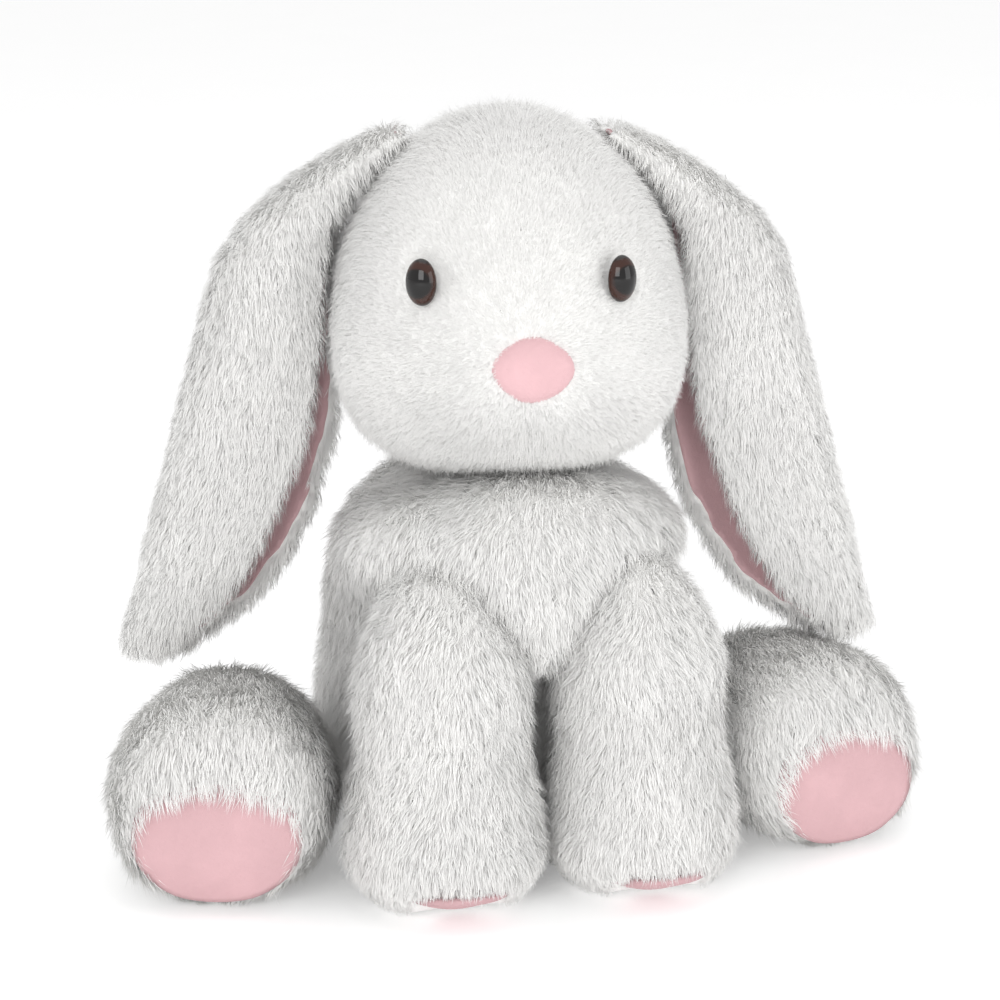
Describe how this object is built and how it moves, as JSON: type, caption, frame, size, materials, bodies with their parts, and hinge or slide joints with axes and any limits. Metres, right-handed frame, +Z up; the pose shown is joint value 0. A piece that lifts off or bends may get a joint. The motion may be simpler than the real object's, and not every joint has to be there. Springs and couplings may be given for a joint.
{
  "type": "stuffed bunny rabbit",
  "caption": "Seated plush bunny with long lop ears, pink ear linings, nose and paw pads; the head, ears, legs and tail move at soft stuffed seams.",
  "frame": {"origin": "on the flat underside of the seat, straight below the neck", "axes": "+Z up, the face looks along -Y, the bunny's own left is +X"},
  "size_m": [0.299, 0.215, 0.2739],
  "materials": {
    "white_plush": "long soft pile",
    "pink_velour": "short smooth pile",
    "stuffing": "loose polyester fibre",
    "bean_pouch": "plain woven",
    "eye_plastic": "glossy two-tone dark brown and black",
    "washer_nylon": "matte"
  },
  "bodies": {
    "torso": {"torso_front_panel": "white_plush", "torso_back_panel_left": "white_plush", "torso_back_panel_right": "white_plush", "torso_seat_panel": "white_plush", "torso_stuffing": "stuffing", "seat_bean_pouch": "bean_pouch"},
    "neck": {"neck_stuffing": "stuffing"},
    "head": {"head_side_panel_left": "white_plush", "head_side_panel_right": "white_plush", "head_centre_gusset": "white_plush", "head_stuffing": "stuffing", "nose_pad": "pink_velour", "eye_left": "eye_plastic", "eye_right": "eye_plastic", "eye_washer_left": "washer_nylon", "eye_washer_right": "washer_nylon"},
    "ear_left": {"ear_plush_left": "white_plush", "ear_lining_left": "pink_velour"},
    "ear_right": {"ear_plush_right": "white_plush", "ear_lining_right": "pink_velour"},
    "front_leg_left": {"front_leg_outer_panel_left": "white_plush", "front_leg_inner_panel_left": "white_plush", "front_leg_stuffing_left": "stuffing", "front_paw_pad_left": "pink_velour"},
    "front_leg_right": {"front_leg_outer_panel_right": "white_plush", "front_leg_inner_panel_right": "white_plush", "front_leg_stuffing_right": "stuffing", "front_paw_pad_right": "pink_velour"},
    "hind_leg_left": {"hind_leg_upper_panel_left": "white_plush", "hind_leg_under_panel_left": "white_plush", "hind_leg_stuffing_left": "stuffing", "hind_foot_pad_left": "pink_velour", "hind_bean_pouch_left": "bean_pouch"},
    "hind_leg_right": {"hind_leg_upper_panel_right": "white_plush", "hind_leg_under_panel_right": "white_plush", "hind_leg_stuffing_right": "stuffing", "hind_foot_pad_right": "pink_velour", "hind_bean_pouch_right": "bean_pouch"},
    "tail": {"tail_upper_panel": "white_plush", "tail_under_panel": "white_plush", "tail_stuffing": "stuffing"}
  },
  "joints": [
    {"name": "neck_turn", "type": "hinge", "parent": "torso", "child": "neck", "pos_m": [0, 0, 0.121], "axis": [0, 0, 1], "range_deg": [-10, 10], "stiffness_Nm_per_rad": 0.8},
    {"name": "neck_nod", "type": "hinge", "parent": "neck", "child": "head", "pos_m": [0, 0, 0.121], "axis": [0.9903, -0.1392, 0], "range_deg": [-8, 8], "stiffness_Nm_per_rad": 1.5},
    {"name": "ear_left_lift", "type": "hinge", "parent": "head", "child": "ear_left", "pos_m": [0.03317, -0.00466, 0.26468], "axis": [-0.1392, -0.9903, 0], "range_deg": [0, 60]},
    {"name": "ear_right_lift", "type": "hinge", "parent": "head", "child": "ear_right", "pos_m": [-0.03317, 0.00466, 0.26468], "axis": [0.1392, 0.9903, 0], "range_deg": [0, 60]},
    {"name": "front_leg_left_swing", "type": "hinge", "parent": "torso", "child": "front_leg_left", "pos_m": [0.036, -0.056, 0.08], "axis": [-1, 0, 0], "range_deg": [-3, 40], "stiffness_Nm_per_rad": 0.15},
    {"name": "front_leg_right_swing", "type": "hinge", "parent": "torso", "child": "front_leg_right", "pos_m": [-0.036, -0.056, 0.08], "axis": [-1, 0, 0], "range_deg": [-3, 40], "stiffness_Nm_per_rad": 0.15},
    {"name": "hind_leg_left_spread", "type": "hinge", "parent": "torso", "child": "hind_leg_left", "pos_m": [0.099, 0.018, 0.035], "axis": [0, 0, 1], "range_deg": [-3, 25], "stiffness_Nm_per_rad": 0.3},
    {"name": "hind_leg_right_spread", "type": "hinge", "parent": "torso", "child": "hind_leg_right", "pos_m": [-0.099, 0.018, 0.035], "axis": [0, 0, -1], "range_deg": [-3, 25], "stiffness_Nm_per_rad": 0.3},
    {"name": "tail_wag", "type": "hinge", "parent": "torso", "child": "tail", "pos_m": [0, 0.08, 0.044], "axis": [1, 0, 0], "range_deg": [-10, 10], "stiffness_Nm_per_rad": 0.05}
  ]
}
